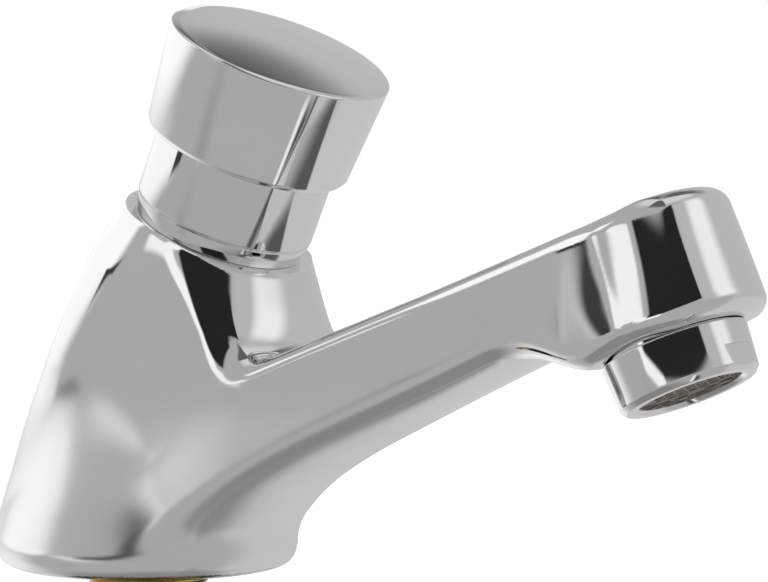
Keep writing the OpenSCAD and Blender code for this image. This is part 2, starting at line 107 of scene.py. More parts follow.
class TapSizes(bpy.types.PropertyGroup):
    """Sizes of the pieces that are drawn finer than the solids"""

    base_d: length("Foot diameter", "Diameter of the round foot", 0.050)
    seat_x: length("Neck forward", "Forward place of the neck seat", 0.0167)
    seat_z: length("Neck height", "Height of the neck seat", 0.0576)
    neck_d: length("Neck diameter", "Diameter of the neck at its seat", 0.0326)
    outlet_s: length("Outlet distance", "Distance of the outlet axis along the spout slope", 0.1178)
    head_d: length("Head diameter", "Diameter of the round spout head", 0.032)
    head_drop: length("Head drop", "Depth of the head's underside below the slope line", 0.0066)
    spout_w: length("Spout waist", "Width of the spout at its waist", 0.0228)
    cap_d: length("Button diameter", "Diameter at the button's rim", 0.038)
    cap_low_d: length("Button foot", "Diameter at the button's lower edge", 0.0348)
    bonnet_d: length("Bonnet diameter", "Diameter of the bonnet", 0.0304)
    ring_d: length("Outlet ring", "Diameter of the outlet ring", 0.0236)
    tail_d: length("Tail thread", "Outside diameter of the tail thread", 0.020955)
    thread_pitch: length("Thread pitch", "Pitch of the tail thread", 0.001814)
    surface_pitch: length("Surface pitch", "Grid pitch of the cast surface", 0.0009)
    turns: IntProperty(name="Spring turns", description="Turns of the return spring", default=6, min=3)


class TapColours(bpy.types.PropertyGroup):
    """Colours of the finishes"""

    chrome: tone("Chrome", "Polished chrome", (0.82, 0.82, 0.825))
    brass: tone("Brass", "Turned brass", (0.68, 0.47, 0.20))
    rubber: tone("Rubber", "Black rubber", (0.022, 0.022, 0.023))
    zinc: tone("Zinc", "Plated steel washer", (0.62, 0.63, 0.64))
    stainless: tone("Stainless", "Turned stainless steel", (0.58, 0.57, 0.56))
    screen: tone("Screen", "Outlet screen", (0.40, 0.36, 0.31))
    white: tone("White plastic", "Moulded white", (0.80, 0.80, 0.78))
    ivory: tone("Ivory plastic", "Moulded ivory", (0.76, 0.72, 0.61))
    blue: tone("Blue plastic", "Moulded blue", (0.06, 0.16, 0.38))
    floor: tone("Floor", "Studio floor", (0.86, 0.86, 0.86))


class TapStudio(bpy.types.PropertyGroup):
    """Camera and light of the studio"""

    azimuth: FloatProperty(
        name="Azimuth", description="Camera azimuth", default=math.radians(39.35), subtype="ANGLE"
    )
    elevation: FloatProperty(
        name="Elevation", description="Camera elevation", default=math.radians(3.59), subtype="ANGLE"
    )
    distance: length("Distance", "Camera distance from its target", 0.67708)
    target: FloatVectorProperty(
        name="Target",
        description="Point the camera looks at",
        default=(0.05194, 0.0, 0.04846),
        subtype="TRANSLATION",
        unit="LENGTH",
    )
    lens: FloatProperty(
        name="Lens", description="Focal length on a 36 mm sensor", default=195.46, min=1.0, unit="CAMERA"
    )
    room: FloatProperty(name="Room", description="Brightness of the studio walls", default=0.47, min=0.0)


# Mesh helpers, all in millimetres.


def button_frame(sizes):
    """Matrix from the button axis, counted from the neck seat, to the tap's frame."""
    m = Matrix.Rotation(TILT, 4, "Y")
    m.translation = Vector((sizes.seat_x / MM, 0.0, sizes.seat_z / MM))
    return m


def outlet_frame(sizes):
    """Matrix from the outlet axis, counted from the head's underside, to the tap's frame."""
    m = Matrix.Rotation(-TILT, 4, "Y")
    m.translation = m @ Vector((sizes.outlet_s / MM, 0.0, -sizes.head_drop / MM))
    return m


def rounded(corners, steps=6):
    """A closed outline from (radius, height, rounding) corners, each rounded by an arc."""
    out = []
    count = len(corners)
    for i, (x, y, r) in enumerate(corners):
        p = Vector((x, y))
        if r <= 0:
            out.append((x, y))
            continue
        a = Vector(corners[i - 1][:2]) - p
        b = Vector(corners[(i + 1) % count][:2]) - p
        half = a.angle(b) / 2
        reach = min(r / math.tan(half), 0.49 * a.length, 0.49 * b.length)
        r = reach * math.tan(half)
        a.normalize()
        b.normalize()
        centre = p + (a + b).normalized() * (r / math.sin(half))
        start = p + a * reach - centre
        turn = start.angle_signed(p + b * reach - centre)
        for k in range(steps + 1):
            q = start.copy()
            q.rotate(Matrix.Rotation(-turn * k / steps, 2))
            out.append(tuple(centre + q))
    return out


def revolve(outline, matrix, segments=160):
    """Points and faces of a closed outline turned about the height axis of a frame."""
    points = []
    rings = []
    for r, h in outline:
        if r < 1e-6:
            rings.append([len(points)] * segments)
            points.append(matrix @ Vector((0.0, 0.0, h)))
            continue
        rings.append(list(range(len(points), len(points) + segments)))
        for k in range(segments):
            a = 2 * math.pi * k / segments
            points.append(matrix @ Vector((r * math.cos(a), r * math.sin(a), h)))
    faces = []
    for i, low in enumerate(rings):
        high = rings[(i + 1) % len(rings)]
        if low[0] == low[1] and high[0] == high[1]:
            continue
        for k in range(segments):
            n = (k + 1) % segments
            quad = [low[k], low[n], high[n], high[k]]
            faces.append(list(dict.fromkeys(quad)))
    return points, faces


def make_mesh(name, points, faces):
    """A mesh object in metres from points in millimetres."""
    mesh = bpy.data.meshes.new(name)
    mesh.from_pydata([Vector(p) * MM for p in points], [], faces)
    mesh.validate()
    obj = bpy.data.objects.new(name, mesh)
    bpy.context.scene.collection.objects.link(obj)
    return obj


def pull(items, field, width=1, kind=float):
    """One attribute of a mesh's elements, as an array."""
    values = np.empty(len(items) * width, dtype=kind)
    items.foreach_get(field, values)
    return values.reshape(-1, width) if width > 1 else values


def outward(obj):
    """Turns a closed mesh's faces outwards."""
    mesh = obj.data
    corners = pull(mesh.vertices, "co", 3)
    mesh.calc_loop_triangles()
    tri = pull(mesh.loop_triangles, "vertices", 3, np.int32)
    a, b, c = (corners[tri[:, i]] for i in range(3))
    if np.einsum("ij,ij->i", a, np.cross(b, c)).sum() < 0:
        mesh.flip_normals()
    return obj


def smooth_edges(obj, angle=32.0):
    """Smooth shading, with sharp edges over an angle."""
    obj.data.shade_smooth()
    obj.data.set_sharp_from_angle(angle=math.radians(angle))
    return obj


def cut_away(obj, cutters, operation="DIFFERENCE"):
    """Applies the cutters to a closed mesh and removes them."""
    for cutter in cutters:
        outward(cutter)
        mod = obj.modifiers.new("cut", "BOOLEAN")
        mod.operation = operation
        mod.solver = "MANIFOLD"
        mod.object = cutter
    graph = bpy.context.evaluated_depsgraph_get()
    result = bpy.data.meshes.new_from_object(obj.evaluated_get(graph))
    if len(result.polygons) < 8:
        raise RuntimeError(f"cutting {obj.name} left nothing")
    old = obj.data
    obj.modifiers.clear()
    obj.data = result
    result.name = obj.name
    bpy.data.meshes.remove(old)
    for cutter in cutters:
        bpy.data.objects.remove(cutter)
    return obj


def turned(name, corners, matrix, segments=160, steps=6):
    """A turned piece with rounded corners."""
    points, faces = revolve(rounded(corners, steps), matrix, segments)
    return smooth_edges(outward(make_mesh(name, points, faces)))


def drill(radius, low, high, matrix):
    """A plain cylinder that cuts a bore."""
    outline = [(0.0, low), (radius, low), (radius, high), (0.0, high)]
    points, faces = revolve(outline, matrix, 96)
    return make_mesh("drill", points, faces)


def drill_between(start, end, radius):
    """A plain cylinder between two points."""
    start = Vector(start)
    way = Vector(end) - start
    matrix = way.to_track_quat("Z", "Y").to_matrix().to_4x4()
    matrix.translation = start
    return drill(radius, 0.0, way.length, matrix)


def place(obj, body, slot, material, *nodes):
    """Hangs a finished piece on a body, in place of solids."""
    obj.data.materials.clear()
    obj.data.materials.append(material)
    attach(obj, body)
    if nodes:
        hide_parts(*nodes)
    return obj


def finish_node(name, material):
    """Gives a solid that shows as it is its finish."""
    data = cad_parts[name].data
    data.materials.clear()
    data.materials.append(material)


# The cast form.


def quad_curve(v, u):
    """Quadratic curve through three control values."""
    return (1 - u) ** 2 * v[0] + 2 * u * (1 - u) * v[1] + u * u * v[2]


def quad_slope(v, u):
    """Slope of the quadratic curve."""
    return 2 * (1 - u) * (v[1] - v[0]) + 2 * u * (v[2] - v[1])


def soft(a, b, k):
    """Smaller of two distances, with a soft fillet."""
    return np.minimum(a, b) - np.maximum(k - np.abs(a - b), 0) ** 2 / (4 * k)


def ease(t):
    """Smooth step from 0 to 1."""
    t = np.clip(t, 0, 1)
    return t * t * t * (t * (6 * t - 15) + 10)


def round_edge(a, b, r):
    """Larger of two distances, with a rounded outer edge."""
    outer = np.hypot(np.maximum(a + r, 0), np.maximum(b + r, 0))
    return outer + np.minimum(np.maximum(a + r, b + r), 0) - r


class CastForm:
    """Distance field of the cast body: a leaning pedestal softly joined to the spout."""

    # pedestal: sections at the foot and midway, in shares of the foot's radius, and the height of its bend
    lean_share = (-0.06, 0.135)
    long_share = (0.84, 0.84)
    wide_share = (0.80, 0.72)
    turn_share = (0.56, 0.36)
    bend_share = 0.469
    # foot: height of its straight edge, draw-in above it, fillet, lower rounding, depth that is cut off
    foot_h = 4.0
    foot_slope = 0.42
    foot_blend = 5.0
    foot_round = 3.0
    foot_under = 1.5
    # fillet between pedestal and spout, and what is cast past the neck seat before it is faced
    blend = 12.0
    neck_over = 2.0
    # neck: how fast it widens towards the spout, its wall's slope in flares, how far, and where it ends
    flare = 0.40
    flare_mean = 1.6
    flare_len = 30.0
    throat_n = 17.0
    # fillet of the neck: its least and greatest size, and its growth per depth below the seat
    throat_least = 0.3
    throat_blend = 5.0
    throat_gain = 0.5
    # flat sides: their edge, how they draw in to the waist, and the crease below which they open to the foot
    side_round = 2.5
    side_gain = 0.5
    taper = 0.08
    taper_x = 70.0
    taper_len = 62.0
    taper_soft = 6.0
    crease_z = 13.8
    crease_soft = 5.0
    crease_slope = 0.33
    crease_open = 0.45
    # over the foot the crease is higher and crisper; this fades along the spout
    crease_lift = 2.0
    fade_x = 20.0
    fade_len = 40.0
    # spout: places counted back from the outlet axis, and lengths
    spout_root = 3.0
    spout_past = 2.0
    spout_top = 18.0
    lead_back = 42.8
    lead_len = 45.0
    lead_rise = 0.5
    level_back = 56.5
    under_back = 63.8
    dip_len = 24.0
    dip_depth = 2.0
    drop_back = 28.0
    drop_len = 22.0
    rim_back = 22.0
    rim_len = 20.0
    top_fall = 0.0635
    top_round = 2.6
    spout_under = 0.2
    under_round = 5.8
    head_round = 2.8
    head_blend = 2.5
    head_top = 26.0
    draft = 0.0060
    # width of the spout: spare beyond the flat sides, and the swell to the head, which the top sinks with
    spare = 0.4
    spare_gain = 0.5
    widen_len = 50.0
    swell = 0.82
    swell_draft = 0.03
    swell_sink = 0.28
    # room of the grid round the foot, below the deck, past the head and above the neck seat
    foot_room = 4.0
    deck_room = 3.1
    head_room = 8.0
    neck_room = 14.0
    # step of the shading normals, in grid pitches
    normal_step = 0.8

    def __init__(self, sizes):
        r = sizes.base_d / MM / 2
        neck = sizes.neck_d / MM / 2
        self.base_r = r
        self.neck = neck
        self.flare_true = 1 / math.hypot(1, self.flare_mean * self.flare)
        self.seat = (sizes.seat_x / MM, sizes.seat_z / MM)
        self.cx = (*(k * r for k in self.lean_share), self.seat[0])
        self.cz = (0.0, self.bend_share * self.seat[1], self.seat[1])
        self.turn = (*(k * r for k in self.turn_share), neck)
        self.long = (*(k * r for k in self.long_share), neck)
        self.wide = (*(k * r for k in self.wide_share), neck)
        self.outlet = sizes.outlet_s / MM
        self.head_r = sizes.head_d / MM / 2
        self.drop = sizes.head_drop / MM
        self.waist = sizes.spout_w / MM / 2
        self.pitch = sizes.surface_pitch / MM

    def pedestal(self, p):
        """Leaning pedestal: rounded sections square to a bent centre line, from the foot to the neck."""
        x, y, z = p[..., 0], p[..., 1], p[..., 2]
        # the section that each point lies in, by Newton steps held near the ends of the centre line
        u = np.clip(z / self.seat[1], -0.1, 1.2)
        for _ in range(6):
            a = TILT * u
            dx = x - quad_curve(self.cx, u)
            dz = z - quad_curve(self.cz, u)
            g = dx * np.sin(a) + dz * np.cos(a)
            turn = TILT * (dx * np.cos(a) - dz * np.sin(a))
            way = quad_slope(self.cx, u) * np.sin(a) + quad_slope(self.cz, u) * np.cos(a)
            u = np.clip(u - g / np.minimum(turn - way, -8), -0.15, 1.3)
        a = TILT * u
        q = (x - quad_curve(self.cx, u)) * np.cos(a) - (z - quad_curve(self.cz, u)) * np.sin(a)
        turn = quad_curve(self.turn, u)
        ahead = np.abs(q) - quad_curve(self.long, u) + turn
        across = np.abs(y) - quad_curve(self.wide, u) + turn
        wall = np.hypot(np.maximum(ahead, 0), np.maximum(across, 0))
        wall = wall + np.minimum(np.maximum(ahead, across), 0) - turn
        h = (x - self.seat[0]) * ST + (z - self.seat[1]) * CT
        return np.maximum(wall, h - self.neck_over)

    def foot(self, p):
        """Round foot, drawn in as it rises."""
        rise = np.maximum(p[..., 2] - self.foot_h, 0)
        d = np.hypot(p[..., 0], p[..., 1]) - self.base_r + self.foot_slope * rise
        return np.where(rise > 0, d / math.hypot(1, self.foot_slope), d)

    def half_width(self, x):
        """Half width of the body between its flat sides, which draw in to the waist."""
        bend = np.hypot(self.taper_x - x, self.taper_soft)
        bend = bend - np.hypot(self.taper_x - self.taper_len - x, self.taper_soft)
        return self.waist + self.taper * 0.5 * (self.taper_len + bend)

    def side(self, p):
        """Flat sides above the crease, opening towards the foot below it, and their edge radius."""
        spread_out = ease((p[..., 0] - self.fade_x) / self.fade_len)
        drop = self.crease_z + self.crease_slope * p[..., 0] - p[..., 2]
        drop = drop + self.crease_lift * (1 - spread_out)
        open_by = 0.5 * (drop + np.hypot(drop, self.crease_soft * (1 + spread_out)))
        wall = np.abs(p[..., 1]) - self.half_width(p[..., 0]) - self.crease_open * open_by
        return wall, self.side_round + self.side_gain * open_by

    def throat(self, p):
        """Neck widening towards the spout."""
        x, y, z = p[..., 0] - self.seat[0], p[..., 1], p[..., 2] - self.seat[1]
        h = x * ST + z * CT
        q = x * CT - z * ST
        n = p[..., 2] * CT - p[..., 0] * ST
        more = self.flare * np.clip(-h, 0, self.flare_len)
        cone = (np.hypot(q - more, y) - self.neck - more) * self.flare_true
        return np.maximum(np.maximum(cone, h - self.neck_over), self.throat_n - n)

    def spout(self, p):
        """Spout along its slope, with drawn-in sides, a soft underside and a round head."""
        x, y, z = p[..., 0], p[..., 1], p[..., 2]
        s = x * CT + z * ST
        n = z * CT - x * ST
        past = s - self.outlet
        lead = np.maximum((past + self.lead_back) / self.lead_len, 0)
        w = self.half_width(x)
        w = w + self.spare + self.spare_gain * (w - self.waist)
        up = np.clip(n + self.drop, 0, self.head_top)
        t = np.clip((past + self.widen_len) / self.widen_len, 0, 1.1)
        wider = self.swell * (self.head_r - self.waist) * t * t * (1.5 - 0.5 * t)
        wider = wider * (1 - self.swell_draft * up)
        w = w + wider
        head = ease((past + self.drop_back) / self.drop_len)
        rim = ease((past + self.rim_back) / self.rim_len)
        top = self.spout_top - self.top_fall * (past + self.level_back)
        top = top + self.lead_rise * lead * lead - self.swell_sink * wider
        dip = np.maximum((self.outlet - self.under_back - s) / self.dip_len, 0)
        low = (self.spout_under - self.dip_depth * dip * dip) * (1 - head) - self.drop * head
        hb = self.under_round * (1 - rim) + self.head_round * rim
        strip = np.maximum(np.maximum(np.abs(y) - w, past - self.spout_past), self.spout_root - s)
        slim = self.draft * up * up
        d = soft(strip, np.hypot(past - slim, y) - self.head_r + slim, self.head_blend)
        wb = w * (1 - rim) + self.head_round * rim
        e = np.maximum(low + hb - n, 0)
        k = np.hypot(np.maximum(d + wb, 0) / wb, e / hb) + 1e-9
        under = np.where(d + wb > 0, np.hypot(d + wb, e) * (1 - 1 / k), low - n)
        upper = round_edge(d, n - top, self.top_round)
        return np.where(n > low + hb, upper, np.maximum(under, n - top))

    def __call__(self, p):
        """Distance of points from the cast skin, below zero inside."""
        z = p[..., 2]
        e = self.foot_round
        f = soft(self.pedestal(p), self.spout(p), self.blend)
        below = (self.seat[0] - p[..., 0]) * ST + (self.seat[1] - z) * CT
        fillet = np.clip(self.throat_gain * below, self.throat_least, self.throat_blend)
        f = soft(f, self.throat(p), fillet)
        f = round_edge(f, *self.side(p))
        f = soft(f, self.foot(p), self.foot_blend)
        edge = np.maximum(np.hypot(f + e, e - z) - e, f)
        above = np.where((z < e) & (f > -e), edge, f)
        return np.where(z < 0, np.maximum(f + e - z, -z - self.foot_under), above)

    def normals(self, points):
        """Unit normals of the field, evened out over a step so that narrow fillets shade smoothly."""
        steps = np.eye(3) * self.normal_step * self.pitch
        g = np.stack([self(points + d) - self(points - d) for d in steps], -1)
        return g / np.maximum(np.linalg.norm(g, axis=-1), 1e-12)[..., None]

    def onto(self, points, turns=4, e=0.02):
        """Moves points onto the surface."""
        steps = np.eye(3) * e
        for _ in range(turns):
            f = self(points)
            g = np.stack([self(points + d) - self(points - d) for d in steps], -1) / (2 * e)
            move = np.clip(f / np.maximum((g * g).sum(-1), 1e-3), -self.pitch / 2, self.pitch / 2)
            points = points - g * move[:, None]
        return points

    def fine_surface(self):
        """The closed surface with each quad cut in four."""
        points, quads = self.surface()
        ends = np.sort(np.stack([quads, np.roll(quads, -1, 1)], -1).reshape(-1, 2), 1)
        edges, which = np.unique(ends, axis=0, return_inverse=True)
        which = which.reshape(-1, 4)
        middles = points[edges].mean(1)
        centres = points[quads].mean(1)
        first = len(points)
        second = first + len(edges)
        mid = which + first
        centre = second + np.arange(len(quads))
        parts = [np.stack([quads[:, i], mid[:, i], centre, mid[:, i - 1]], 1) for i in range(4)]
        added = self.onto(np.concatenate([middles, centres]))
        return np.concatenate([points, added]), np.concatenate(parts)

    def surface(self):
        """Points and quads of the closed surface, by surface nets on a grid."""
        c = self.pitch
        half = c * math.ceil((self.base_r + self.foot_room) / c)
        low = (-self.base_r - self.foot_room, -half, -self.deck_room)
        tip = (self.outlet + self.head_r) * CT
        high = (tip + self.head_room, half, self.seat[1] + self.neck_room)
        n = [int(math.ceil((high[i] - low[i]) / c)) + 1 for i in range(3)]
        axes = [low[i] + c * np.arange(n[i]) for i in range(3)]
        grid = np.stack(np.meshgrid(*axes, indexing="ij"), -1)
        v = self(grid)
        inside = v < 0
        corners = [(i, j, k) for i in (0, 1) for j in (0, 1) for k in (0, 1)]

        def part(a, o):
            return a[tuple(slice(o[i], n[i] - 1 + o[i]) for i in range(3))]

        count = sum(part(inside, o).astype(int) for o in corners)
        active = (count > 0) & (count < 8)
        total = np.zeros((active.sum(), 3))
        hits = np.zeros(active.sum())
        for a in corners:
            for axis in range(3):
                if a[axis]:
                    continue
                b = tuple(1 if i == axis else a[i] for i in range(3))
                va, vb = part(v, a)[active], part(v, b)[active]
                crossed = (va < 0) != (vb < 0)
                t = np.where(crossed, va / np.where(crossed, va - vb, 1), 0)
                pa, pb = part(grid, a)[active], part(grid, b)[active]
                total += np.where(crossed[:, None], pa + (pb - pa) * t[:, None], 0)
                hits += crossed
        points = self.onto(total / hits[:, None])
        index = np.full(active.shape, -1)
        index[active] = np.arange(active.sum())
        quads = []
        for axis in range(3):
            one, two = (axis + 1) % 3, (axis + 2) % 3
            lo_cut = [slice(0, n[i] - (i == axis)) for i in range(3)]
            hi_cut = [slice(int(i == axis), n[i]) for i in range(3)]
            a, b = inside[tuple(lo_cut)], inside[tuple(hi_cut)]
            cells = np.argwhere(a != b)
            leaving = a[a != b]
            around = []
            for d1, d2 in ((1, 1), (0, 1), (0, 0), (1, 0)):
                j = cells.copy()
                j[:, one] -= d1
                j[:, two] -= d2
                around.append(index[j[:, 0], j[:, 1], j[:, 2]])
            q = np.stack(around, 1)
            q[~leaving] = q[~leaving][:, ::-1]
            quads.append(q)
        return points, np.concatenate(quads)


# Finishes.

# heights in millimetres between which the soft polish of the skirt fades out
SKIRT = (26.0, 38.0)


def new_material(name):
    """An empty node material with a principled shader."""
    mat = bpy.data.materials.new(name)
    mat.use_nodes = True
    nodes = mat.node_tree.nodes
    shader = next(n for n in nodes if n.type == "BSDF_PRINCIPLED")
    return mat, nodes, mat.node_tree.links, shader


def noise_on(nodes, links, scale, detail=3.0, stretch=(1.0, 1.0, 1.0)):
    """Noise in object space, in cycles per metre."""
    coords = nodes.new("ShaderNodeTexCoord")
    mapping = nodes.new("ShaderNodeMapping")
    mapping.inputs["Scale"].default_value = stretch
    noise = nodes.new("ShaderNodeTexNoise")
    noise.inputs["Scale"].default_value = scale
    noise.inputs["Detail"].default_value = detail
    links.new(coords.outputs["Object"], mapping.inputs["Vector"])
    links.new(mapping.outputs["Vector"], noise.inputs["Vector"])
    return noise.outputs["Fac"]


def spread(nodes, links, value, low, high, start=0.3, end=0.7):
    """Maps a value from one range to another."""
    node = nodes.new("ShaderNodeMapRange")
    node.inputs["From Min"].default_value = start
    node.inputs["From Max"].default_value = end
    node.inputs["To Min"].default_value = low
    node.inputs["To Max"].default_value = high
    links.new(value, node.inputs["Value"])
    return node.outputs["Result"]


def tint(nodes, links, value, dark, light):
    """Colour between two tints by a noise value."""
    ramp = nodes.new("ShaderNodeValToRGB")
    ramp.color_ramp.elements[0].position = 0.3
    ramp.color_ramp.elements[1].position = 0.7
    ramp.color_ramp.elements[0].color = (*dark, 1.0)
    ramp.color_ramp.elements[1].color = (*light, 1.0)
    links.new(value, ramp.inputs["Fac"])
    return ramp.outputs["Color"]


def bump(nodes, links, value, strength, distance, shader):
    """Fine relief from a noise value."""
    node = nodes.new("ShaderNodeBump")
    node.inputs["Strength"].default_value = strength
    node.inputs["Distance"].default_value = distance
    links.new(value, node.inputs["Height"])
    links.new(node.outputs["Normal"], shader.inputs["Normal"])


def scaled(colour, k):
    """A colour made lighter or darker."""
    return tuple(min(c * k, 1.0) for c in colour)


def skirt_haze(nodes, links, amount):
    """Extra roughness low on the body, where the polish is softer."""
    coords = nodes.new("ShaderNodeTexCoord")
    split = nodes.new("ShaderNodeSeparateXYZ")
    links.new(coords.outputs["Object"], split.inputs["Vector"])
    return spread(nodes, links, split.outputs["Z"], amount, 0.0, SKIRT[0] * MM, SKIRT[1] * MM)


def chrome_finish(name, colour, rough=0.035, skirt=0.0):
    """Polished chrome with faint polishing haze and water marks."""
    mat, nodes, links, shader = new_material(name)
    shader.inputs["Metallic"].default_value = 1.0
    haze = noise_on(nodes, links, 60.0, 4.0)
    shade = tint(nodes, links, haze, scaled(colour, 0.985), scaled(colour, 1.01))
    links.new(shade, shader.inputs["Base Color"])
    fine = noise_on(nodes, links, 420.0, 5.0)
    level = spread(nodes, links, fine, rough * 0.8, rough * 1.3)
    if skirt:
        both = nodes.new("ShaderNodeMath")
        links.new(level, both.inputs[0])
        links.new(skirt_haze(nodes, links, skirt), both.inputs[1])
        level = both.outputs["Value"]
    links.new(level, shader.inputs["Roughness"])
    return mat


def metal_finish(name, colour, rough, grain=900.0, stretch=(1.0, 1.0, 1.0), relief=0.1):
    """Turned or plated metal with grain."""
    mat, nodes, links, shader = new_material(name)
    shader.inputs["Metallic"].default_value = 1.0
    patch = noise_on(nodes, links, 90.0, 4.0)
    shade = tint(nodes, links, patch, scaled(colour, 0.86), scaled(colour, 1.06))
    links.new(shade, shader.inputs["Base Color"])
    fine = noise_on(nodes, links, grain, 4.0, stretch)
    links.new(spread(nodes, links, fine, rough * 0.75, rough * 1.3), shader.inputs["Roughness"])
    bump(nodes, links, fine, relief, 0.0002, shader)
    return mat


def moulded_finish(name, colour, rough, relief=0.08, grain=1500.0):
    """Moulded plastic or rubber with a fine skin."""
    mat, nodes, links, shader = new_material(name)
    patch = noise_on(nodes, links, 150.0, 3.0)
    shade = tint(nodes, links, patch, scaled(colour, 0.9), scaled(colour, 1.08))
    links.new(shade, shader.inputs["Base Color"])
    fine = noise_on(nodes, links, grain, 3.0)
    links.new(spread(nodes, links, fine, rough * 0.85, rough * 1.15), shader.inputs["Roughness"])
    bump(nodes, links, fine, relief, 0.00015, shader)
    return mat


FINISHES = {}


def finish(name, colours):
    """One of the tap's finishes, made once."""
    if name not in FINISHES:
        makers = {
            "body chrome": lambda: chrome_finish("body_chrome", colours.chrome, skirt=0.22),
            "button chrome": lambda: chrome_finish("button_chrome", colours.chrome),
            "bonnet chrome": lambda: chrome_finish("bonnet_chrome", scaled(colours.chrome, 0.97)),
            "outlet chrome": lambda: chrome_finish("outlet_chrome", scaled(colours.chrome, 0.97), 0.05),
            "brass": lambda: metal_finish("turned_brass", colours.brass, 0.28, 1200.0, (1, 1, 6)),
            "zinc": lambda: metal_finish("zinc_plate", colours.zinc, 0.38),
            "stainless": lambda: metal_finish("turned_stainless", colours.stainless, 0.24, 1400.0, (1, 1, 8)),
            "spring": lambda: metal_finish("spring_wire", scaled(colours.stainless, 0.95), 0.3, 2000.0),
            "screen": lambda: metal_finish("outlet_screen", colours.screen, 0.42, 2500.0),
            "rubber": lambda: moulded_finish("black_rubber", colours.rubber, 0.55, 0.15),
            "white plastic": lambda: moulded_finish("white_moulding", colours.white, 0.42),
            "ivory plastic": lambda: moulded_finish("ivory_moulding", colours.ivory, 0.40),
            "blue plastic": lambda: moulded_finish("blue_moulding", colours.blue, 0.30),
        }
        FINISHES[name] = makers[name]()
    return FINISHES[name]


def towards(azimuth, elevation):
    """Direction from the tap, counted from the photograph's side of it."""
    flat = math.cos(elevation)
    return Vector((math.sin(azimuth) * flat, -math.cos(azimuth) * flat, math.sin(elevation)))


# Operators.


class TAP_OT_cast_body(bpy.types.Operator):
    """Smooth cast body with its bores, in place of the faceted casting"""

    bl_idname = "tap.cast_body"
    bl_label = "Cast body"

    # radius, low and high end of the cuts that face the foot and the neck seat
    foot_face = (60.0, -20.0, 0.0)
    seat_face = (24.0, 0.0, 6.0)
    # valve bore, from the chamber down to the inlet
    chamber_r = 12.5
    seat_r = 12.0
    seat_low = -28.0
    inlet_r = 9.0
    inlet_low = -45.0
    # under the foot: end of the water bore, and radius of the gasket's recess
    water_top = 24.0
    gasket_r = 21.0
    # waterway: its height as a share of the spout's top, its port in the chamber, where the port's bore
    # meets it and where it starts along the slope, and the two radii
    water_share = 0.38
    port = (11.3, 0.0, -13.0)
    meet_s = 36.0
    start_s = 32.0
    port_r = 4.0
    water_r = 4.5
    # outlet: depth of the ring's socket, and of the bore behind it
    socket_h = 8.6
    outlet_h = 18.5

    def execute(self, context):
        sizes = context.scene.tap_sizes
        form = CastForm(sizes)
        points, quads = form.fine_surface()
        obj = make_mesh("cast_body", points.tolist(), quads.tolist())
        outward(obj)
        neck, outlet, deck = button_frame(sizes), outlet_frame(sizes), Matrix.Identity(4)
        # the waterway leaves the chamber's side, meets the spout's root and follows its slope to the outlet
        water_n = self.water_share * form.spout_top
        slope = Matrix.Rotation(-TILT, 4, "Y")
        valve = neck @ Vector(self.port)
        meet, start, end = (slope @ Vector((s, 0, water_n)) for s in (self.meet_s, self.start_s, form.outlet))
        cut_away(
            obj,
            [
                drill(*self.foot_face, deck),
                drill(*self.seat_face, neck),
                # bonnet thread, chamber, valve seat and inlet, down the button axis
                drill(THREAD_R, -THREAD_H, OVER, neck),
                drill(self.chamber_r, SEAT_TOP, OVER - THREAD_H, neck),
                drill(self.seat_r + FIT, self.seat_low, SEAT_TOP + OVER, neck),
                drill(self.inlet_r, self.inlet_low, self.seat_low + OVER, neck),
                # water bore, tail socket and gasket recess, up from the deck
                drill(TAIL_BORE_R, SOCKET_DEPTH - OVER, self.water_top, deck),
                drill(SPIGOT_R + FIT, -OVER, SOCKET_DEPTH, deck),
                drill(self.gasket_r, -OVER, GASKET_H, deck),
                # waterway from the valve to the outlet, then the outlet's socket and bore
                drill_between(valve, meet, self.port_r),
                drill_between(start, end, self.water_r),
                drill(RING_THREAD_R, -2 * OVER, self.socket_h, outlet),
                drill(RING_BORE_R, self.socket_h - OVER, self.outlet_h, outlet),
            ],
        )
        self.set_normals(obj, form)
        place(obj, "body", "chrome_body", finish("body chrome", context.scene.tap_colours), "body_casting")
        return {"FINISHED"}

    @staticmethod
    def set_normals(obj, form):
        """True normals on the cast skin, plain ones on the bores."""
        smooth_edges(obj, 25.0)
        mesh = obj.data
        co = pull(mesh.vertices, "co", 3) / MM
        # a corner shades as skin where it lies this near to it and its face looks much the same way
        near, alike = 0.03, 0.8
        skin = (np.abs(form(co)) < near) & (co[:, 2] > 0.01)
        skin_normals = form.normals(co)
        corner_vertex = pull(mesh.loops, "vertex_index", 1, np.int32)
        plain = pull(mesh.corner_normals, "vector", 3)
        sides = pull(mesh.polygons, "loop_total", 1, np.int32)
        face_normal = np.repeat(pull(mesh.polygons, "normal", 3), sides, axis=0)
        true = skin_normals[corner_vertex]
        same = np.einsum("ij,ij->i", true, face_normal) > alike
        use = skin[corner_vertex] & same
        chosen = np.where(use[:, None], true, plain)
        mesh.normals_split_custom_set(chosen.tolist())


